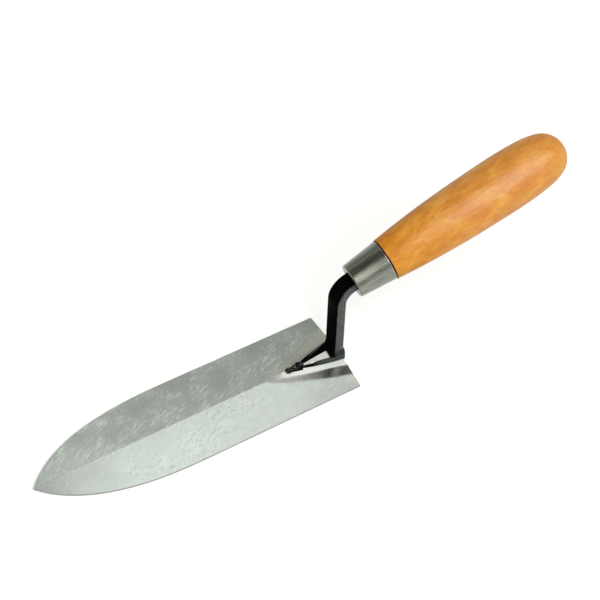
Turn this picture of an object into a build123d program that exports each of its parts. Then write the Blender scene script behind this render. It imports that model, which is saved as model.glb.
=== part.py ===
"""Brick trowel: a pressed steel blade, a forged shank welded to it, a ferrule and a turned wooden handle.

Millimetres. The blade points along -X and the handle along +X. Z is up, and Z = 0 is the flat surface that
the trowel lies on. The origin is the middle of the footprint. The trowel is the same left and right of XZ.
"""

import os
from math import cos, radians, sin, sqrt, tan

from build123d import *

# Blade: one sheet, folded along its middle
blade_length = 203.0
heel_width = 59.6
belly_width = 60.8
tip_reach = 103.0
tip_half_angle = 50.5
tip_pull = 41.0
shoulder_pull = 22.0
heel_bow = 0.8
sheet = 1.5
fold_rise = 0.8

# Boss: a flat crown with sloping flanks, pressed up under the foot of the shank
boss_length = 50.0
boss_width = 41.4
crown_width = 25.6
crown_rise = 0.6

# Shank, foot: a spearhead with a low ridge along its top
foot_length = 33.5
foot_width = 18.4
foot_shoulder = 15.2
foot_height = 4.4
foot_roof = 0.8
foot_corner = 0.6
foot_end = 3.0
foot_end_width = 11.4
nose_setback = 10.0
nose_height = 1.0
nose_flat = 0.8
toe_width = 4.0
toe_height = 0.5

# Shank, neck and tang
neck_inset = 0.35
neck_lean = 1.3
neck_width = 11.0
neck_depth = 7.0
neck_corner = 1.3
root_height = 10.0
root_front = 2.8
root_rear = 1.0
root_side = 0.2
root_corner = 1.6
bend_height = 59.3
bend_radius = 12.0
handle_tilt = 15.6
tang_length = 76.0
tang_tip = 4.0

# Weld: a row of drops run together over the toe of the foot
drop_radii = (2.4, 1.9, 2.1, 1.8, 1.9)
drop_spacing = 2.2
drop_height = 0.6
drop_root = 0.2
drop_taper = 20.0
drop_sides = 9
drop_start = 33.4

# Ferrule: a drawn cup on the end of the handle
ferrule_setback = 10.0
ferrule_length = 23.4
ferrule_mouth = 21.4
ferrule_rim = 25.8
ferrule_wall = 1.2
ferrule_edge = 0.9

# Handle: turned wood
wood_length = 126.6
wood_shoulder = 26.6
shoulder_slope = 0.12
wood_belly = 35.6
belly_position = 78.0
hip_position = 103.0
wood_hip = 34.2
crown_radius = 15.2
crown_angle = 68.0

# Fits
tang_clearance = 0.1
tenon_clearance = 0.1
shoulder_gap = 0.4
cut_margin = 5.0

# Places that follow from the sizes
tilt = radians(handle_tilt)
lean = radians(neck_lean)
bend_turn = 90 - neck_lean - handle_tilt
bend_reach = bend_radius * tan(radians(bend_turn) / 2)
shoulder_at = ferrule_setback + ferrule_length + shoulder_gap
butt_at = shoulder_at + wood_length
handle_reach = (butt_at - crown_radius) * cos(tilt) + crown_radius
heel_x = (blade_length + neck_inset - handle_reach) / 2
tip_x = heel_x - blade_length
boss_x = heel_x - boss_length
neck_x = heel_x - neck_inset
fold_slope = fold_rise / (belly_width / 2)
cone = (ferrule_rim - ferrule_mouth) / 2 / ferrule_length

# The handle's own plane: its x runs from the bend to the butt, its y is the radius
bend_point = (neck_x, 0, bend_height)
handle_direction = (cos(tilt), 0, sin(tilt))
handle_plane = Plane(origin=bend_point, x_dir=handle_direction, z_dir=(0, -1, 0))
handle_axis = Axis(bend_point, handle_direction)


def across_handle(distance):
    """Plane square to the handle's axis, its local x across the trowel."""
    origin = handle_plane.from_local_coords((distance, 0, 0))
    return Plane(origin=origin, x_dir=(0, 1, 0), z_dir=handle_direction)


def sheet_top(y):
    """Height of the folded sheet's upper face, off the boss."""
    return sheet + fold_rise - fold_slope * abs(y)


def crown(x):
    """Height of the flat crown of the boss, on which the shank's foot lies."""
    return sheet_top(0) + crown_rise * (x - boss_x) / boss_length


def boss(drop):
    """Pyramid from the point of the boss to past the heel, moved down by drop."""
    x = heel_x + cut_margin
    share = (x - boss_x) / boss_length
    half = share * boss_width / 2
    flat = share * crown_width / 2
    foot = sheet_top(half) - drop
    top = crown(x) - drop
    low = foot - sheet / 2
    with BuildPart() as pyramid:
        with BuildSketch(Plane.YZ.offset(x)) as section:
            with BuildLine():
                Polyline(
                    (-half, low), (-half, foot), (-flat, top), (flat, top), (half, foot), (half, low), close=True
                )
            make_face()
        loft([section.sketch.face(), Vertex(boss_x, 0, sheet_top(0) - drop)], ruled=True)
    return pyramid.part


# Blade: pressed from sheet steel
with BuildPart() as blade:
    with BuildSketch(Plane.YZ.offset(tip_x - cut_margin)):
        with BuildLine():
            half = belly_width / 2 + cut_margin
            edge = sheet_top(half)
            Polyline(
                (-half, edge),
                (0, sheet_top(0)),
                (half, edge),
                (half, edge - sheet),
                (0, sheet_top(0) - sheet),
                (-half, edge - sheet),
                close=True,
            )
        make_face()
    extrude(amount=blade_length + 2 * cut_margin)
    add(boss(0))
    add(boss(sheet), mode=Mode.SUBTRACT)
    with BuildSketch():
        with BuildLine():
            shoulder = (tip_x + tip_reach, belly_width / 2)
            corner = (heel_x - heel_bow, heel_width / 2)
            point = radians(tip_half_angle)
            Bezier(
                (tip_x, 0),
                (tip_x + tip_pull * cos(point), tip_pull * sin(point)),
                (shoulder[0] - shoulder_pull, shoulder[1]),
                shoulder,
            )
            Line(shoulder, corner)
            mirror(about=Plane.XZ)
            ThreePointArc(corner, (heel_x, 0), (corner[0], -corner[1]))
        make_face()
    extrude(amount=cut_margin + sheet, both=True, mode=Mode.INTERSECT)


def foot_section(x, base, flat, side, ridge):
    """Section of the foot on the crown: base and flat are widths, side and ridge heights."""
    floor = crown(x)
    with BuildSketch(Plane.YZ.offset(x)) as section:
        with BuildLine():
            Polyline(
                (-base / 2, floor),
                (-flat / 2, floor + side),
                (0, floor + ridge),
                (flat / 2, floor + side),
                (base / 2, floor),
                close=True,
            )
        make_face()
    return section.sketch


def neck_section(rise, growth):
    """Section of the neck at a height above the heel's crown, grown by a share of the root's flare."""
    x = neck_x - (bend_height - crown(heel_x) - rise) * tan(lean)
    depth = neck_depth + growth * (root_front + root_rear)
    width = neck_width + growth * 2 * root_side
    with BuildSketch(Plane.XY.offset(crown(heel_x) + rise)) as section:
        with Locations((x + growth * (root_rear - root_front) / 2, 0)):
            RectangleRounded(depth, width, neck_corner + growth * root_corner)
    return section.sketch


# Shank: foot, root of the neck, neck, bend and tang
with BuildPart() as shank:
    side_height = foot_height - foot_roof
    toe = foot_section(heel_x - foot_length, toe_width, toe_width / 3, toe_height * 0.8, toe_height)
    nose_share = nose_setback / (foot_length + foot_corner)
    nose_width = toe_width + nose_share * (foot_width - toe_width)
    nose_x = heel_x - foot_length + nose_setback
    nose = foot_section(nose_x, nose_width, nose_flat, nose_height * 0.8, nose_height)
    broad = foot_section(heel_x + foot_corner, foot_width, foot_shoulder, side_height, foot_height)
    end = foot_section(heel_x + foot_end, foot_end_width, foot_end_width - 2, side_height, foot_height)
    loft([toe, nose], ruled=True)
    loft([nose, broad], ruled=True)
    loft([broad, end], ruled=True)
    flare = []
    for share in (0, 0.06, 0.25, 0.55, 1):
        low = foot_height / 2
        flare.append(neck_section(low + share * (root_height - low), 1 - sqrt(1 - (1 - share) ** 2)))
    loft(flare)
    with BuildLine(Plane.XZ):
        rise_from = root_height / 2 + crown(heel_x)
        rise = Line(
            (neck_x - (bend_height - rise_from) * tan(lean), rise_from),
            (neck_x - bend_reach * sin(lean), bend_height - bend_reach * cos(lean)),
        )
        bend = JernArc(rise @ 1, rise % 1, bend_radius, -bend_turn)
        Line(bend @ 1, bend @ 1 + (bend % 1) * (ferrule_setback - bend_reach))
    with BuildSketch(Plane(origin=rise @ 0, x_dir=(0, 1, 0), z_dir=rise % 0)):
        RectangleRounded(neck_width, neck_depth, neck_corner)
    sweep()
    with BuildSketch(across_handle(ferrule_setback)):
        RectangleRounded(neck_width, neck_depth, neck_corner)
    with BuildSketch(across_handle(ferrule_setback + tang_length)):
        RectangleRounded(tang_tip, tang_tip, tang_tip / 5)
    loft()

# Weld: low drops standing on the crown, one running into the next
with BuildPart() as weld_bead:
    for place, radius in enumerate(drop_radii):
        x = heel_x - drop_start + place * drop_spacing
        with BuildSketch(Plane.XY.offset(crown(x) - drop_root)):
            with Locations((x, 0)):
                RegularPolygon(radius, drop_sides)
        rise = nose_height * place / len(drop_radii)
        extrude(amount=drop_root + rise + drop_height * radius, taper=drop_taper)
    split(bisect_by=Plane(origin=(boss_x, 0, crown(boss_x)), z_dir=(-crown_rise, 0, boss_length)))
    add(shank.part, mode=Mode.SUBTRACT)

# Ferrule: a cone-sided cup, its closed end pierced for the tang
with BuildPart() as ferrule:
    with BuildSketch(handle_plane):
        with BuildLine():
            Polyline(
                (ferrule_setback, 0),
                (ferrule_setback, ferrule_mouth / 2),
                (ferrule_setback + ferrule_length, ferrule_rim / 2),
                (ferrule_setback + ferrule_length, ferrule_rim / 2 - ferrule_wall),
                (ferrule_setback + ferrule_wall, ferrule_mouth / 2 - ferrule_wall + ferrule_wall * cone),
                (ferrule_setback + ferrule_wall, 0),
                close=True,
            )
        make_face()
    revolve(axis=handle_axis)
    ends = ferrule.edges().filter_by(GeomType.CIRCLE).group_by(handle_axis)
    chamfer(ends[0], ferrule_edge)
    chamfer(ends[-1].sort_by(SortBy.RADIUS)[-1], ferrule_wall / 4)
    with BuildSketch(across_handle(ferrule_setback - ferrule_wall)):
        RectangleRounded(
            neck_width + 2 * tang_clearance, neck_depth + 2 * tang_clearance, neck_corner + tang_clearance
        )
    extrude(amount=3 * ferrule_wall, mode=Mode.SUBTRACT)

# Handle: turned between centres, with a tenon for the ferrule
with BuildPart() as handle:
    with BuildSketch(handle_plane):
        with BuildLine():
            tenon_start = ferrule_setback + ferrule_wall + tenon_clearance
            tenon_front = ferrule_mouth / 2 - ferrule_wall + (tenon_start - ferrule_setback) * cone
            tenon_back = ferrule_rim / 2 - ferrule_wall + shoulder_gap * cone
            crown_from = radians(crown_angle)
            crown_start = (
                butt_at - crown_radius * (1 - cos(crown_from)),
                crown_radius * sin(crown_from),
            )
            Polyline(
                (butt_at, 0),
                (tenon_start, 0),
                (tenon_start, tenon_front - tenon_clearance),
                (shoulder_at, tenon_back - tenon_clearance),
                (shoulder_at, wood_shoulder / 2),
            )
            Spline(
                (shoulder_at, wood_shoulder / 2),
                (shoulder_at + belly_position, wood_belly / 2),
                (shoulder_at + hip_position, wood_hip / 2),
                crown_start,
                tangents=((1, shoulder_slope), (sin(crown_from), -cos(crown_from))),
            )
            RadiusArc(crown_start, (butt_at, 0), crown_radius)
        make_face()
    revolve(axis=handle_axis)
    with BuildSketch(across_handle(ferrule_setback)):
        RectangleRounded(
            neck_width + 2 * tang_clearance, neck_depth + 2 * tang_clearance, neck_corner + tang_clearance
        )
    with BuildSketch(across_handle(ferrule_setback + tang_length + tang_clearance)):
        side = tang_tip + 2 * tang_clearance
        RectangleRounded(side, side, side / 5)
    loft(mode=Mode.SUBTRACT)

# One STEP file for each piece
os.makedirs("parts", exist_ok=True)
pieces = {"blade": blade, "shank": shank, "weld_bead": weld_bead, "ferrule": ferrule, "handle": handle}
for name, piece in pieces.items():
    piece.part.label = name
    export_step(piece.part, f"parts/{name}.step")
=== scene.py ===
import math

import bmesh
import bpy
from mathutils import Matrix, Vector, geometry, noise


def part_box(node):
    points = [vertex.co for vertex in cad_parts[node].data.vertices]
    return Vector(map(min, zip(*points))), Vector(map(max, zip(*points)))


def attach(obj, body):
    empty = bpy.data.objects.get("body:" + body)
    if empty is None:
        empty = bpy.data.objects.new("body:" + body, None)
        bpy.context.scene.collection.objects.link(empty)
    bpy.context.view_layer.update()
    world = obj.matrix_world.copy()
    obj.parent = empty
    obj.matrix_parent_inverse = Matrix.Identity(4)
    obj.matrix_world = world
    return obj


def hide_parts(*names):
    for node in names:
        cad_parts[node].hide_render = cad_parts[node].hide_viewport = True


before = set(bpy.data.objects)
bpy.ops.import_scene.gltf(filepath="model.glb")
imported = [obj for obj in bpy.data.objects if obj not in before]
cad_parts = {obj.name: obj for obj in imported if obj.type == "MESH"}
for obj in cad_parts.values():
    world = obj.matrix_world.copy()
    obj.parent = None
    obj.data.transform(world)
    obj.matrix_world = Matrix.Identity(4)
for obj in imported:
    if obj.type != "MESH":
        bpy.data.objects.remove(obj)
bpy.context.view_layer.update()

mm = 0.001


# The blade is one sheet of steel, pressed along its middle into a low fold, with a boss pressed up by the
# heel for the foot of the shank. Its facets are ground satin on a belt. The boss is left bright, but for its
# flat crown, which is dull and painted pale, a painted reflection. Its length, width and place are those of
# the frame's own blade.
blade_low, blade_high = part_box("blade")
box_clearance = 0.01 * mm
heel_x = blade_high.x
tip_x = blade_low.x
belly_half = blade_high.y - box_clearance
heel_half = 29.8 * mm
heel_bow = 0.8 * mm
sheet = 1.5 * mm
fold_rise = 0.8 * mm
fold_softness = 0.25 * mm
fold_slope = fold_rise / belly_half
tip_reach = 103.0 * mm
tip_pull = 41.0 * mm
tip_half_angle = math.radians(50.5)
tip_fade = 60.0 * mm
shoulder_pull = 22.0 * mm
boss_length = 50.0 * mm
boss_x = heel_x - boss_length
boss_half = 20.7 * mm
near_boss_half = 21.3 * mm
boss_bluntness = 0.705
crown_half = 13.3 * mm
far_crown_half = 9.6 * mm
crown_rise = 0.6 * mm
crown_camber = 0.08 * mm
crease_softness = 0.14 * mm
heel_ease = 0.25
point_ease = 1.5
near_ease = 0.7
far_ease = 1.7


def boss_edge(share, far):
    """Distance of the boss's outer crease from the middle, at a share of the boss's length."""
    return boss_half * share if far else near_boss_half * share**boss_bluntness


def soft_smaller(first, second, softness):
    """The smaller of two heights, with the corner between them eased."""
    return (first + second - math.sqrt((first - second) ** 2 + softness**2)) / 2


def blade_top(x, y):
    """Height of the blade's upper face."""
    fold = math.sqrt(y**2 + fold_softness**2) - fold_softness
    fade = min(1, (x - tip_x) / tip_fade)
    facet = sheet + fold_rise - fold_slope * fold * fade
    share = (x - boss_x) / boss_length
    if share <= 0:
        return facet
    inner = share * (far_crown_half if y > 0 else crown_half)
    outer = boss_edge(share, y > 0)
    crown_line = sheet + fold_rise + crown_rise * share
    crown = crown_line - crown_camber * share * (y / inner) ** 2
    crown_side = crown_line - crown_camber * share
    foot = sheet + fold_rise - fold_slope * outer
    flank = foot + (crown_side - foot) * (outer - abs(y)) / (outer - inner)
    softness = crease_softness * (heel_ease + point_ease * (1 - share))
    pressed = soft_smaller(crown, flank, softness * (far_ease if y > 0 else near_ease))
    return -soft_smaller(-facet, -pressed, softness)


# Rows run across the blade, closer together round the tip. Columns gather at the fold ahead of the boss and
# follow the boss's creases beside it, but never lie further out than a set part of the blade's width.
rows = 180
tip_rows = 70
straight_rows = rows - tip_rows
columns = 36
crown_columns = 8
flank_columns = 8
least_boss_share = 0.02
crown_limit = 0.5
boss_limit = 0.9
merge_distance = 0.002 * mm
tip_corners = (
    Vector((tip_x, 0, 0)),
    Vector((tip_x + tip_pull * math.cos(tip_half_angle), tip_pull * math.sin(tip_half_angle), 0)),
    Vector((tip_x + tip_reach - shoulder_pull, belly_half, 0)),
    Vector((tip_x + tip_reach, belly_half, 0)),
)
half_outline = geometry.interpolate_bezier(*tip_corners, tip_rows + 1)
for row in range(1, straight_rows + 1):
    share = row / straight_rows
    x = tip_x + tip_reach + share * (heel_x - tip_x - tip_reach)
    half_outline.append(Vector((x, belly_half + share * (heel_half - belly_half), 0)))

blade_form = bmesh.new()
bmesh.ops.create_grid(blade_form, x_segments=rows, y_segments=2 * columns, size=1)
steps = (0, crown_columns, crown_columns + flank_columns, columns)
for vert in blade_form.verts:
    edge = half_outline[round((vert.co.x + 1) / 2 * rows)]
    column = round(vert.co.y * columns)
    share = max((edge.x - boss_x) / boss_length, least_boss_share)
    crown_stop = share * (far_crown_half if column > 0 else crown_half)
    boss_stop = boss_edge(share, column > 0)
    stops = (0, min(crown_stop, crown_limit * edge.y), min(boss_stop, boss_limit * edge.y), edge.y)
    for band in range(len(steps) - 1):
        if steps[band] <= abs(column) <= steps[band + 1]:
            along_band = (abs(column) - steps[band]) / (steps[band + 1] - steps[band])
            y = stops[band] + along_band * (stops[band + 1] - stops[band])
    y = math.copysign(y, column)
    bow = heel_bow * max(0, (edge.x - tip_x - tip_reach) / (heel_x - tip_x - tip_reach)) ** 2
    x = edge.x - bow * (y / heel_half) ** 2
    vert.co = (x, y, blade_top(x, y))
bmesh.ops.remove_doubles(blade_form, verts=blade_form.verts, dist=merge_distance)
bmesh.ops.recalc_face_normals(blade_form, faces=blade_form.faces)


def finished_piece(form, name):
    """A smooth object in the scene, made from a finished bmesh."""
    for face in form.faces:
        face.smooth = True
    mesh = bpy.data.meshes.new(name)
    form.to_mesh(mesh)
    form.free()
    piece = bpy.data.objects.new(name, mesh)
    bpy.context.scene.collection.objects.link(piece)
    return piece


blade = finished_piece(blade_form, "blade_sheet")
wall = blade.modifiers.new("wall", "SOLIDIFY")
wall.thickness = sheet
wall.offset = -1
rim = blade.modifiers.new("rim", "BEVEL")
rim.width = 0.22 * mm
rim.segments = 3
rim.limit_method = "ANGLE"
rim.angle_limit = math.radians(50)
rim.harden_normals = True


def new_material(name):
    """A new material, with its shader node."""
    material = bpy.data.materials.new(name)
    material.use_nodes = True
    return material, material.node_tree.nodes["Principled BSDF"]


def set_inputs(node, inputs):
    """Gives each input a value, or a link where the value is another node's output."""
    for name, value in inputs.items():
        if isinstance(value, bpy.types.NodeSocket):
            node.id_data.links.new(value, node.inputs[name])
        else:
            node.inputs[name].default_value = value


def add_node(material, kind, inputs, **settings):
    """Adds a node to a material, or to the room, and sets it up."""
    node = material.node_tree.nodes.new(kind)
    for name, value in settings.items():
        setattr(node, name, value)
    set_inputs(node, inputs)
    return node


def laid_along(material, coordinates, turn, size=(1, 1, 1), start=(0, 0, 0)):
    """Coordinates measured from a start, along turned axes, in units of a given size."""
    inputs = {"Vector": coordinates, "Location": start, "Rotation": turn, "Scale": size}
    return add_node(material, "ShaderNodeMapping", inputs, vector_type="TEXTURE").outputs["Vector"]


def mottled(material, coordinates, scale=1.0, detail=2.0, roughness=0.5, distortion=0.0):
    """A cloudy pattern of values from 0 to 1."""
    inputs = {"Vector": coordinates, "Scale": scale, "Detail": detail}
    inputs.update({"Roughness": roughness, "Distortion": distortion})
    return add_node(material, "ShaderNodeTexNoise", inputs).outputs["Fac"]


def spread(material, value, limits=(0.0, 1.0), at_first=0.0, at_last=1.0, clamp=True):
    """Runs from at_first to at_last while a value runs from the first of two limits to the last."""
    inputs = {"Value": value, "From Min": limits[0], "From Max": limits[1]}
    inputs.update({"To Min": at_first, "To Max": at_last})
    return add_node(material, "ShaderNodeMapRange", inputs, clamp=clamp).outputs["Result"]


def worked_out(material, operation, *values, **settings):
    """The result of one sum."""
    inputs = dict(enumerate(values))
    return add_node(material, "ShaderNodeMath", inputs, operation=operation, **settings).outputs["Value"]


def between(material, share, low, high):
    """A number between two others."""
    return add_node(material, "ShaderNodeMix", {"Factor": share, "A": low, "B": high}).outputs["Result"]


def painted(material, share, under, over):
    """A colour between two others. A mixing node keeps its colours in inputs 6 and 7 and output 2."""
    inputs = {"Factor": share, 6: under, 7: over}
    return add_node(material, "ShaderNodeMix", inputs, data_type="RGBA").outputs[2]


def shaded(material, colour, shade):
    """A colour multiplied by a shade."""
    inputs = {"Vector": colour, "Scale": shade}
    return add_node(material, "ShaderNodeVectorMath", inputs, operation="SCALE").outputs["Vector"]


def coloured_by(material, value, stops):
    """The colour at a value's place among stops, each of them a level and its colour."""
    ramp = add_node(material, "ShaderNodeValToRGB", {"Fac": value})
    shades = ramp.color_ramp.elements
    shades.remove(shades[1])
    shades[0].position = stops[0][0]
    shades[0].color = stops[0][1]
    for level, colour in stops[1:]:
        shades.new(level).color = colour
    return ramp.outputs["Color"]


def bumped(material, height, strength, distance):
    """The surface's direction, tilted as the slopes of a height tilt it."""
    inputs = {"Height": height, "Strength": strength, "Distance": distance}
    return add_node(material, "ShaderNodeBump", inputs).outputs["Normal"]


blade_steel, steel = new_material("ground_blade_steel")
place = add_node(blade_steel, "ShaderNodeTexCoord", {}).outputs
axes = add_node(blade_steel, "ShaderNodeSeparateXYZ", {"Vector": place["Object"]}).outputs

# Belt marks: short streaks across the facets, over slow cloudy changes
belt_turn = (0, 0, math.radians(27.5))
belt_mark_size = (2.4 * mm, 0.67 * mm, 1.0 * mm)
clouds_per_metre = 55.0
cloud_share = 0.45
ground_colours = ((0.36, (0.475, 0.525, 0.49, 1)), (0.62, (0.60, 0.655, 0.615, 1)))
along_belt = laid_along(blade_steel, place["Object"], belt_turn, belt_mark_size)
marks = mottled(blade_steel, along_belt, detail=4.0, roughness=0.65, distortion=0.4)
clouds = mottled(blade_steel, place["Object"], clouds_per_metre, detail=4.0)
ground = coloured_by(blade_steel, between(blade_steel, cloud_share, marks, clouds), ground_colours)

# Flecks: longer and deeper strokes of the belt, gathered in patches, cut in the relief and painted paler, a
# painted glint where they catch the light
fleck_size = (4.6 * mm, 0.8 * mm, 1.4 * mm)
fleck_levels = (0.54, 0.72)
gathering_levels = (0.40, 0.54)
fleck_glint_colour = (0.72, 0.785, 0.735, 1)
along_flecks = laid_along(blade_steel, place["Object"], belt_turn, fleck_size)
deep = spread(blade_steel, mottled(blade_steel, along_flecks), fleck_levels)
gathered = spread(blade_steel, clouds, gathering_levels)
fleck_height = worked_out(blade_steel, "MULTIPLY", deep, gathered)
glint_flecked = painted(blade_steel, fleck_height, ground, fleck_glint_colour)

# The far facet is made paler towards the tip and darker towards the heel, and the very tip is made darker
far_fading = (tip_x + 30 * mm, heel_x - 30 * mm)
far_shade_by_tip = 1.14
far_shade_by_heel = 0.78
fold_width = (-0.5 * mm, 0.5 * mm)
tip_darkening = (tip_x + 3 * mm, tip_x + 26 * mm)
tip_darkness = 0.74
far_shade = spread(blade_steel, axes["X"], far_fading, far_shade_by_tip, far_shade_by_heel)
on_far_side = spread(blade_steel, axes["Y"], fold_width)
facet_shade = between(blade_steel, on_far_side, 1.0, far_shade)
tip_shade = spread(blade_steel, axes["X"], tip_darkening, tip_darkness)
facet_colour = shaded(blade_steel, glint_flecked, worked_out(blade_steel, "MULTIPLY", facet_shade, tip_shade))

# How far a place lies inside the boss: 1 within its ragged outer creases, 0 on the ground facets
boss_span = (boss_x, heel_x)
ragged_width = 2.0 * mm
boss_border = (0.6 * mm, 2.4 * mm)
across = worked_out(blade_steel, "ABSOLUTE", axes["Y"])
far_crease = spread(blade_steel, axes["X"], boss_span, at_last=boss_half, clamp=False)
blunted = worked_out(blade_steel, "POWER", spread(blade_steel, axes["X"], boss_span), boss_bluntness)
near_crease = worked_out(blade_steel, "MULTIPLY", blunted, near_boss_half)
on_near_side = worked_out(blade_steel, "LESS_THAN", axes["Y"], 0.0)
crease_here = between(blade_steel, on_near_side, far_crease, near_crease)
inside = worked_out(blade_steel, "SUBTRACT", crease_here, across)
ragged_edge = worked_out(blade_steel, "MULTIPLY_ADD", marks, ragged_width, inside)
on_boss = spread(blade_steel, ragged_edge, boss_border)

# Towards its point the boss is painted darker on the near side, a painted shade, and paler on the far side,
# a painted reflection
bright_colour = (0.52, 0.53, 0.495)
near_shade_span = (boss_x + 11 * mm, boss_x + 24 * mm)
near_painted_shade = 0.53
far_light_span = (boss_x + 8 * mm, boss_x + 22 * mm)
far_painted_light = 1.6
near_point_shade = spread(blade_steel, axes["X"], near_shade_span, near_painted_shade)
far_point_light = spread(blade_steel, axes["X"], far_light_span, far_painted_light)
painted_point_light_and_shade = between(blade_steel, on_far_side, near_point_shade, far_point_light)
boss_colour = shaded(blade_steel, bright_colour, painted_point_light_and_shade)
pressed_colour = painted(blade_steel, on_boss, facet_colour, boss_colour)

# The flat crown is dull and painted pale, a painted reflection, more widely on the near side than on the far
# side
crown_reflection_colour = (0.86, 0.895, 0.855, 1)
far_pale_share = 0.25
crown_border = (-0.5 * mm, 0.3 * mm)
crown_fading = (boss_x + 6 * mm, boss_x + 14 * mm)
crown_edge = worked_out(blade_steel, "MULTIPLY", far_crease, crown_half / boss_half)
inside_near_edge = worked_out(blade_steel, "ADD", crown_edge, axes["Y"])
far_crown_edge = worked_out(blade_steel, "MULTIPLY", crown_edge, far_pale_share)
inside_far_edge = worked_out(blade_steel, "SUBTRACT", far_crown_edge, axes["Y"])
inside_crown = worked_out(blade_steel, "MINIMUM", inside_near_edge, inside_far_edge)
crown_width = spread(blade_steel, inside_crown, crown_border)
crown_reach = spread(blade_steel, axes["X"], crown_fading)
on_pale_crown = worked_out(blade_steel, "MULTIPLY", crown_width, crown_reach)
crown_painted_colour = painted(blade_steel, on_pale_crown, pressed_colour, crown_reflection_colour)

# The sheared rim of the sheet is left dull and dark
rim_colour = (0.32, 0.33, 0.31, 1)
rim_uprightness = (0.75, 0.45)
facing_axes = add_node(blade_steel, "ShaderNodeSeparateXYZ", {"Vector": place["Normal"]}).outputs
upright = worked_out(blade_steel, "ABSOLUTE", facing_axes["Z"])
on_rim = spread(blade_steel, upright, rim_uprightness)
rimmed_colour = painted(blade_steel, on_rim, crown_painted_colour, rim_colour)

# Polish: the boss is a better mirror than the satin facets, and the crown is dull. The near corner by the
# heel is worn duller than the rest of its facet.
facet_mirror = 0.72
worn_mirror = 0.05
boss_mirror = 0.96
crown_mirror = 0.12
facet_satin = 0.22
boss_satin = 0.18
crown_satin = 0.35
wear_by_heel = (heel_x - 50 * mm, heel_x - 22 * mm)
wear_by_near_edge = (-8 * mm, -16 * mm)
by_heel = spread(blade_steel, axes["X"], wear_by_heel)
by_near_edge = spread(blade_steel, axes["Y"], wear_by_near_edge)
worn = worked_out(blade_steel, "MULTIPLY", by_heel, by_near_edge)
worn_facet = spread(blade_steel, worn, at_first=facet_mirror, at_last=worn_mirror)
mirror = spread(blade_steel, on_boss, at_first=worn_facet, at_last=boss_mirror)
satin = spread(blade_steel, on_boss, at_first=facet_satin, at_last=boss_satin)

# Relief: the belt's scratches and the deeper flecks, with hardly any on the boss
mark_height = 0.25
facet_scratches = 0.46
boss_scratches = 0.03
scratch_depth = 0.06 * mm
scratch_height = worked_out(blade_steel, "MULTIPLY_ADD", marks, mark_height, fleck_height)
scratches = spread(blade_steel, on_boss, at_first=facet_scratches, at_last=boss_scratches)
steel_inputs = {
    "Base Color": rimmed_colour,
    "Metallic": between(blade_steel, on_pale_crown, mirror, crown_mirror),
    "Roughness": between(blade_steel, on_pale_crown, satin, crown_satin),
    "Normal": bumped(blade_steel, scratch_height, scratches, scratch_depth),
}
set_inputs(steel, steel_inputs)
blade.data.materials.append(blade_steel)
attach(blade, "root")
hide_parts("blade")


# The shank is one forging: a spearhead foot welded flat on the crown, a leaning neck, a bend and a tang
# that runs up inside the handle. The near side of its foot's top is bright metal painted pale, a painted
# highlight; its bevels and the sides of the neck are cleaned to grey, and the dark scale of the forge is
# left on the front and the back.
def solid_copy(node, name):
    """A new object with a CAD node's own surface, its loose triangles joined."""
    form = bmesh.new()
    form.from_mesh(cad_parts[node].data)
    bmesh.ops.remove_doubles(form, verts=form.verts, dist=merge_distance)
    mesh = bpy.data.meshes.new(name)
    form.to_mesh(mesh)
    form.free()
    mesh.materials.clear()
    piece = bpy.data.objects.new(name, mesh)
    bpy.context.scene.collection.objects.link(piece)
    return piece


def ease_edges(piece, voxel, rounds):
    """Rebuilds a piece in an even skin and smooths it, which rounds its edges as forging does."""
    skin = piece.modifiers.new("skin", "REMESH")
    skin.mode = "VOXEL"
    skin.voxel_size = voxel
    skin.use_smooth_shade = True
    bpy.context.view_layer.update()
    seen = piece.evaluated_get(bpy.context.evaluated_depsgraph_get())
    form = bmesh.new()
    form.from_mesh(seen.to_mesh())
    every_axis = {"use_axis_x": True, "use_axis_y": True, "use_axis_z": True}
    for turn in range(rounds):
        bmesh.ops.smooth_vert(form, verts=form.verts, factor=0.5, **every_axis)
    piece.modifiers.remove(skin)
    form.to_mesh(piece.data)
    form.free()
    return piece


def rising(value, start, span):
    """0 up to the start, 1 past the span, and even between."""
    return min(1, max(0, (value - start) / span))


shank = ease_edges(solid_copy("shank", "shank_forging"), voxel=0.26 * mm, rounds=3)

# The finish of each place: 0 is forge scale, 0.2 the grey of the bevels, 0.5 that of the neck's sides and 1
# bright metal painted pale, a painted highlight. The painted highlight covers the near side of the foot's
# top, narrows towards the foot's nose and ends by the neck.
crown_height = blade_top(heel_x, 0)
foot_top = crown_height + 6 * mm
bevel_top = crown_height + 2.2 * mm
nose_x = heel_x - 26.0 * mm
nose_half = 0.4 * mm
shoulder_half = 7.5 * mm
bright_fade = 0.4 * mm
bright_end_x = heel_x - 7 * mm
bright_end_fade = 1 * mm
heel_end_x = heel_x - 5.0 * mm
heel_end_fade = 1.5 * mm
front_scale = 0.7 * mm
front_fade = 0.6 * mm
slice_height = 0.5 * mm
bevel_facing = 0.3
side_facing = 0.55
side_blend = 0.3
top_facing = 0.845
top_blend = 0.05
near_facing = 0.01
near_blend = 0.04
bevel_grey = 0.2
heel_end_grey = 0.16
side_grey = 0.5
front_line = {}
for vert in shank.data.vertices:
    level = round(vert.co.z / slice_height)
    front_line[level] = min(vert.co.x, front_line.get(level, heel_x))
finish = shank.data.attributes.new("finish", "FLOAT", "POINT")
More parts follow.
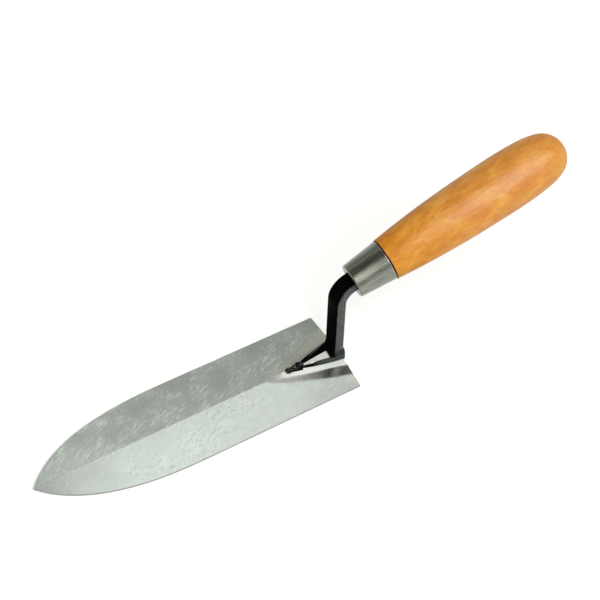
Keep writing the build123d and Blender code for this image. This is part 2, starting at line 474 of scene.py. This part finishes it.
for vert in shank.data.vertices:
    facing = vert.normal
    on_foot = vert.co.z < foot_top
    on_bevel = vert.co.z < bevel_top
    beside = rising(abs(facing.y), bevel_facing if on_bevel else side_facing, side_blend)
    behind_front = vert.co.x - front_line[round(vert.co.z / slice_height)]
    at_heel_end = rising(vert.co.x, heel_end_x, heel_end_fade)
    if not on_foot:
        beside *= rising(behind_front, front_scale, front_fade)
    elif not on_bevel:
        beside *= at_heel_end
    top_half = nose_half + (shoulder_half - nose_half) * (vert.co.x - nose_x) / (heel_x - nose_x)
    # Painted highlight: only top faces that turn towards the near side are painted pale
    painted_top_highlight = rising(facing.z, top_facing, top_blend) * rising(-facing.y, near_facing, near_blend)
    painted_top_highlight *= rising(top_half - abs(vert.co.y), -bright_fade, bright_fade)
    painted_top_highlight *= rising(bright_end_x - vert.co.x, 0, bright_end_fade)
    foot_finish = max(bevel_grey * beside, heel_end_grey * at_heel_end, painted_top_highlight)
    finish.data[vert.index].value = foot_finish if on_foot else side_grey * beside

finish_colours = (
    (0.0, (0.002, 0.002, 0.002, 1)),
    (0.05, (0.003, 0.003, 0.003, 1)),
    (0.22, (0.050, 0.060, 0.052, 1)),
    (0.5, (0.054, 0.058, 0.055, 1)),
    (1.0, (0.84, 0.86, 0.83, 1)),
)
bare_levels = (0.5, 0.8)
bare_mirror = 0.5
clean_levels = (0.0, 0.5)
scale_sheen = 0.003
clean_sheen = 0.2
polish_levels = (0.5, 1.0)
grey_gloss = 0.42
bright_gloss = 0.28
patches_per_metre = 420.0
patch_levels = (0.3, 0.7)
patch_swing = 0.04
patch_depth = 0.05 * mm

shank_steel, steel = new_material("forged_shank_steel")
place = add_node(shank_steel, "ShaderNodeTexCoord", {}).outputs
worked = add_node(shank_steel, "ShaderNodeAttribute", {}, attribute_name="finish").outputs["Fac"]
patches = mottled(shank_steel, place["Object"], patches_per_metre, detail=5.0)
swing = spread(shank_steel, patches, patch_levels, -patch_swing, patch_swing)
uneven = worked_out(shank_steel, "ADD", worked, swing, use_clamp=True)
steel_inputs = {
    "Base Color": coloured_by(shank_steel, uneven, finish_colours),
    "Metallic": spread(shank_steel, worked, bare_levels, at_last=bare_mirror),
    "Specular IOR Level": spread(shank_steel, worked, clean_levels, scale_sheen, clean_sheen),
    "Roughness": spread(shank_steel, worked, polish_levels, grey_gloss, bright_gloss),
    "Normal": bumped(shank_steel, patches, strength=0.2, distance=patch_depth),
}
set_inputs(steel, steel_inputs)
shank.data.materials.append(shank_steel)
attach(shank, "root")
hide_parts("shank")


# The weld bead is a row of drops of weld metal, run together over the nose of the foot. It is left as rough
# and dark as the rod laid it, with small bright spots.
lump_height = 0.42 * mm
coarse_lumps_per_metre = 800
fine_lumps_per_metre = 1900
fine_lump_share = 0.6
bead = ease_edges(solid_copy("weld_bead", "weld_drops"), voxel=0.16 * mm, rounds=4)
bead_form = bmesh.new()
bead_form.from_mesh(bead.data)
bead_form.normal_update()
for vert in bead_form.verts:
    coarse_lump = noise.noise(vert.co * coarse_lumps_per_metre)
    fine_lump = noise.noise(vert.co * fine_lumps_per_metre)
    vert.co += vert.normal * lump_height * (coarse_lump + fine_lump_share * fine_lump)
bead_form.to_mesh(bead.data)
bead_form.free()

weld_colours = ((0.53, (0.003, 0.003, 0.003, 1)), (0.70, (0.30, 0.32, 0.29, 1)))
spatter_per_metre = 1300.0
spatter_depth = 0.15 * mm

weld_metal, metal = new_material("weld_metal")
place = add_node(weld_metal, "ShaderNodeTexCoord", {}).outputs
spatter = mottled(weld_metal, place["Object"], spatter_per_metre, detail=4.0)
metal_inputs = {
    "Base Color": coloured_by(weld_metal, spatter, weld_colours),
    "Specular IOR Level": 0.05,
    "Roughness": 0.45,
    "Normal": bumped(weld_metal, spatter, strength=0.5, distance=spatter_depth),
}
set_inputs(metal, metal_inputs)
bead.data.materials.append(weld_metal)
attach(bead, "root")
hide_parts("weld_bead")


# The ferrule is a cone-sided cup, drawn from thin steel, that grips the tenon of the handle. Its rim is cut
# off square and bright, and its closed end is pierced for the tang.
handle_tilt = math.radians(15.6)
handle_turn = (0, -handle_tilt, 0)
bend_point = Vector((heel_x - 0.35 * mm, 0, 59.3 * mm))
along_handle = Matrix.Translation(bend_point) @ Matrix.Rotation(-handle_tilt, 4, "Y")
ferrule_setback = 10.0 * mm
ferrule_length = 23.4 * mm
ferrule_end = ferrule_setback + ferrule_length
ferrule_mouth = 21.4 * mm / 2
ferrule_rim = 25.8 * mm / 2
ferrule_wall = 1.2 * mm
ferrule_edge = 0.9 * mm
edge_steps = 8
rim_round = 0.3 * mm
rim_steps = 6
hole_radius = 0.3 * ferrule_mouth
cone = (ferrule_rim - ferrule_mouth) / ferrule_length
turning_steps = 128
turning_merge = 0.001 * mm


def rounded_front(start, top, size, steps):
    """Quarter round behind a flat front, as points of a turned profile that rise to a radius."""
    points = []
    for step in range(steps + 1):
        turn = step / steps * math.pi / 2
        points.append((start + size * (1 - math.cos(turn)), top - size * (1 - math.sin(turn))))
    return points


def turned_piece(name, profile):
    """Spins a profile of (distance, radius) points round the handle's axis and puts it in place."""
    form = bmesh.new()
    line = [form.verts.new((distance, radius, 0)) for distance, radius in profile]
    edges = [form.edges.new(pair) for pair in zip(line, line[1:])]
    bmesh.ops.spin(
        form,
        geom=line + edges,
        cent=(0, 0, 0),
        axis=(1, 0, 0),
        angle=2 * math.pi,
        steps=turning_steps,
        use_merge=True,
    )
    bmesh.ops.remove_doubles(form, verts=form.verts, dist=turning_merge)
    bmesh.ops.recalc_face_normals(form, faces=form.faces)
    bmesh.ops.transform(form, matrix=along_handle, verts=form.verts)
    return finished_piece(form, name)


ferrule_profile = [(ferrule_setback, hole_radius)]
ferrule_profile += rounded_front(ferrule_setback, ferrule_mouth, ferrule_edge, edge_steps)
ferrule_profile.append((ferrule_end - rim_round, ferrule_rim - rim_round * cone))
for step in range(1, rim_steps + 1):
    turn = step / rim_steps * math.pi / 2
    distance = ferrule_end - rim_round * (1 - math.sin(turn))
    ferrule_profile.append((distance, ferrule_rim - rim_round * (1 - math.cos(turn))))
ferrule_profile.append((ferrule_end, ferrule_rim - ferrule_wall))
ferrule_profile.append((ferrule_setback + ferrule_wall, ferrule_mouth - ferrule_wall))
ferrule_profile.append((ferrule_setback + ferrule_wall, hole_radius))
ferrule_profile.append((ferrule_setback, hole_radius))
ferrule = turned_piece("ferrule_cup", ferrule_profile)

drawn_colours = ((0.3, (0.185, 0.192, 0.157, 1)), (0.7, (0.285, 0.302, 0.255, 1)))
cut_colour = (0.60, 0.56, 0.54, 1)
cut_border = (ferrule_end - 0.45 * mm, ferrule_end - 0.3 * mm)
draw_lines_per_metre = (60, 900, 900)
draw_line_depth = 0.04 * mm


def stretched(material, coordinates, per_metre):
    """Coordinates for a pattern with so many cells to the metre along the handle and across it."""
    inputs = {"Vector": coordinates, "Scale": per_metre}
    return add_node(material, "ShaderNodeMapping", inputs).outputs["Vector"]


ferrule_steel, steel = new_material("drawn_ferrule_steel")
place = add_node(ferrule_steel, "ShaderNodeTexCoord", {}).outputs
along = laid_along(ferrule_steel, place["Object"], handle_turn, start=bend_point)
station = add_node(ferrule_steel, "ShaderNodeSeparateXYZ", {"Vector": along}).outputs["X"]
draw_lines = mottled(ferrule_steel, stretched(ferrule_steel, along, draw_lines_per_metre), detail=4.0)
drawn = coloured_by(ferrule_steel, draw_lines, drawn_colours)
on_rim = spread(ferrule_steel, station, cut_border)
steel_inputs = {
    "Base Color": painted(ferrule_steel, on_rim, drawn, cut_colour),
    "Metallic": 1.0,
    "Roughness": 0.27,
    "Normal": bumped(ferrule_steel, draw_lines, strength=0.12, distance=draw_line_depth),
}
set_inputs(steel, steel_inputs)
ferrule.data.materials.append(ferrule_steel)
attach(ferrule, "root")
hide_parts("ferrule")


# The handle is one length of pale hardwood, turned between centres, stained honey-orange and lacquered. A
# narrow gap shows its shoulder behind the ferrule's rim, painted dark with stain and painted shade.
wood_start = ferrule_end + 0.4 * mm
wood_length = 126.6 * mm
wood_end = wood_start + wood_length
tenon_start = ferrule_end - 2 * mm
tenon_radius = 22.6 * mm / 2
shoulder_radius = 26.6 * mm / 2
shoulder_slope = 0.12
shoulder_round = 0.5 * mm
shoulder_steps = 5
belly_at = 78.0 * mm
belly_radius = 35.48 * mm / 2
belly_slope = 0.0097
hip_at = 103.0 * mm
hip_radius = 34.0 * mm / 2
hip_slope = -0.0925
dome_radius = 15.12 * mm
dome_angle = math.radians(68)
dome_steps = 16


def dome_point(turn):
    """Distance and radius of a point on the butt's dome, at an angle from the handle's axis."""
    return wood_end - dome_radius * (1 - math.cos(turn)), dome_radius * math.sin(turn)


# The side swells from the shoulder to the belly, falls to the hip and runs on into the dome
swell_points = (
    Vector((wood_start + shoulder_round, shoulder_radius, 0)),
    Vector((wood_start + belly_at, belly_radius, 0)),
    Vector((wood_start + hip_at, hip_radius, 0)),
    Vector((*dome_point(dome_angle), 0)),
)
swell_slopes = (shoulder_slope, belly_slope, hip_slope, -1 / math.tan(dome_angle))
swell_steps = (30, 14, 10)
handle_profile = [(tenon_start, 0), (tenon_start, tenon_radius), (wood_start, tenon_radius)]
handle_profile += rounded_front(wood_start, shoulder_radius, shoulder_round, shoulder_steps)[:-1]
for swell, steps in enumerate(swell_steps):
    start, stop = swell_points[swell : swell + 2]
    third = (stop.x - start.x) / 3
    leave = start + Vector((third, third * swell_slopes[swell], 0))
    arrive = stop - Vector((third, third * swell_slopes[swell + 1], 0))
    for point in geometry.interpolate_bezier(start, leave, arrive, stop, steps + 1)[:-1]:
        handle_profile.append((point.x, point.y))
for step in range(dome_steps + 1):
    handle_profile.append(dome_point(dome_angle * (1 - step / dome_steps)))
handle = turned_piece("turned_handle", handle_profile)

wood, lacquer = new_material("lacquered_wood")
place = add_node(wood, "ShaderNodeTexCoord", {}).outputs
along = laid_along(wood, place["Object"], handle_turn, start=bend_point)
station = add_node(wood, "ShaderNodeSeparateXYZ", {"Vector": along}).outputs["X"]

# Figure: slow clouds of lighter and deeper orange, stretched along the grain
figure_per_metre = (62, 130, 130)
wood_colours = ((0.38, (0.605, 0.200, 0.003, 1)), (0.64, (0.745, 0.325, 0.036, 1)))
along_figure = stretched(wood, along, figure_per_metre)
figure = mottled(wood, along_figure, detail=5.0, roughness=0.62, distortion=0.6)
figured = coloured_by(wood, figure, wood_colours)

# Grain: fine lengthwise lines
grain_per_metre = (60, 1300, 1300)
grain_levels = (0.3, 0.7)
grain_dark = 0.90
grain_light = 1.06
grain_depth = 0.1 * mm
grain = mottled(wood, stretched(wood, along, grain_per_metre), detail=5.0, roughness=0.6)
grain_shade = spread(wood, grain, grain_levels, grain_dark, grain_light)
grained = shaded(wood, figured, grain_shade)

# Pores: short brown flecks that lie along the grain
pores_per_metre = (240, 900, 900)
pore_levels = (0.64, 0.76)
pore_colour = (0.34, 0.12, 0.02, 1)
pores = spread(wood, mottled(wood, stretched(wood, along, pores_per_metre)), pore_levels)
pored = painted(wood, pores, grained, pore_colour)

# Shoulder: the cut end inside the gap is painted dark, partly stain and partly painted shade of the gap
gap_stain_and_shade_colour = (0.045, 0.008, 0.004, 1)
gap_border = (wood_start + 0.6 * mm, wood_start + 0.35 * mm)
in_gap = spread(wood, station, gap_border)

# The lacquer lies in low waves, and thinner beside the ferrule
waves_per_metre = (170, 330, 330)
wave_depth = 0.9 * mm
coat_thickening = (wood_start, wood_start + 60 * mm)
thin_coat = 0.12
full_coat = 0.46
waves = mottled(wood, stretched(wood, along, waves_per_metre), detail=3.0)
lacquer_inputs = {
    "Base Color": painted(wood, in_gap, pored, gap_stain_and_shade_colour),
    "Roughness": 0.5,
    "Specular IOR Level": 0.1,
    "Normal": bumped(wood, grain, strength=0.12, distance=grain_depth),
    "Coat Weight": spread(wood, station, coat_thickening, thin_coat, full_coat),
    "Coat Roughness": 0.44,
    "Coat IOR": 2.1,
    "Coat Normal": bumped(wood, waves, strength=0.8, distance=wave_depth),
}
set_inputs(lacquer, lacquer_inputs)
handle.data.materials.append(wood)
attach(handle, "root")
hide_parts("handle")


# The floor is a plain sheet of paper. It glows a little where it is seen, or mirrored in the steel, which
# makes it white, but that glow doesn't light the tool.
floor_half = 4
paper_glow = 0.56
floor_form = bmesh.new()
bmesh.ops.create_grid(floor_form, x_segments=1, y_segments=1, size=floor_half)
floor_mesh = bpy.data.meshes.new("floor")
floor_form.to_mesh(floor_mesh)
floor_form.free()
floor = bpy.data.objects.new("floor", floor_mesh)
bpy.context.scene.collection.objects.link(floor)
floor_paper, paper = new_material("floor_paper")
ray = add_node(floor_paper, "ShaderNodeLightPath", {}).outputs
seen_or_mirrored = worked_out(floor_paper, "MAXIMUM", ray["Is Camera Ray"], ray["Is Glossy Ray"])
seen_at_all = worked_out(floor_paper, "MAXIMUM", seen_or_mirrored, ray["Is Transmission Ray"])
paper_inputs = {
    "Base Color": (0.6, 0.6, 0.6, 1),
    "Roughness": 0.9,
    "Specular IOR Level": 0.0,
    "Emission Color": (1, 1, 1, 1),
    "Emission Strength": worked_out(floor_paper, "MULTIPLY", seen_at_all, paper_glow),
}
set_inputs(paper, paper_inputs)
floor_mesh.materials.append(floor_paper)


# The room has pale walls, a dark band above them, a pale slope above that and a dark ceiling, which the bare
# steel mirrors. Each shade stands at the height of the direction in which it is seen: 0 is level and 1 is
# straight up.
wall_shades = (
    (0.28, (0.72, 0.73, 0.71, 1)),
    (0.40, (0.13, 0.13, 0.11, 1)),
    (0.44, (0.13, 0.13, 0.11, 1)),
    (0.53, (0.50, 0.49, 0.43, 1)),
    (0.73, (0.66, 0.65, 0.57, 1)),
    (0.765, (0.11, 0.12, 0.105, 1)),
    (0.90, (0.11, 0.11, 0.095, 1)),
)
room = bpy.data.worlds.new("room")
bpy.context.scene.world = room
room.use_nodes = True
direction = add_node(room, "ShaderNodeTexCoord", {}).outputs["Generated"]
height = add_node(room, "ShaderNodeSeparateXYZ", {"Vector": direction}).outputs["Z"]
set_inputs(room.node_tree.nodes["Background"], {"Color": coloured_by(room, height, wall_shades)})


# Three soft lamps. A broad one on the near side lights the tool and puts the sheen on the handle. A long one
# under the ceiling has its far edge between the places that the two facets of the blade mirror. A small one
# over the far side is mirrored in the middle of the near facet, and brightens it there.
def soft_lamp(name, place, aim, width, length, glow):
    """A rectangular lamp as bright as a white sheet in full light, times glow."""
    data = bpy.data.lights.new(name, "AREA")
    data.shape = "RECTANGLE"
    data.size = width
    data.size_y = length
    data.energy = math.pi * width * length * glow
    lamp = bpy.data.objects.new(name, data)
    lamp.location = place
    lamp.rotation_euler = (Vector(aim) - Vector(place)).to_track_quat("-Z", "Y").to_euler()
    bpy.context.scene.collection.objects.link(lamp)


key_place = (0.2, -0.88, 1.27)
key_aim = (0.04, 0, 0.04)
strip_x = 0.48
strip_height = 1.4
strip_near_edge = strip_height * math.tan(math.radians(25.0))
strip_far_edge = strip_height * math.tan(math.radians(31.9))
strip_y = (strip_far_edge + strip_near_edge) / 2
strip_length = strip_far_edge - strip_near_edge
strip_place = (strip_x, strip_y, strip_height)
card_place = (0.015, 0.17, 0.45)
below_strip = (strip_x, strip_y, 0)
below_card = (card_place[0], card_place[1], 0)
soft_lamp("key_lamp", key_place, key_aim, width=1.2, length=1.3, glow=4.15)
soft_lamp("strip_lamp", strip_place, below_strip, width=1.25, length=strip_length, glow=1.95)
soft_lamp("card_lamp", card_place, below_card, width=0.10, length=0.10, glow=0.6)


# The camera looks down on the tool from the blade's near side, through a long lens and from over a metre
# away. The colours are shown as they come, with no film curve.
camera_place = (-347.9 * mm, -597.5 * mm, 924.2 * mm)
camera_turn = (math.radians(38.836), math.radians(-0.177), math.radians(-29.871))
camera_data = bpy.data.cameras.new("camera")
camera_data.sensor_width = 36.0
camera_data.lens = 114.0
camera_data.clip_start = 0.05
camera = bpy.data.objects.new("camera", camera_data)
camera.location = camera_place
camera.rotation_euler = camera_turn
bpy.context.scene.collection.objects.link(camera)
bpy.context.scene.camera = camera
bpy.context.scene.view_settings.view_transform = "Standard"
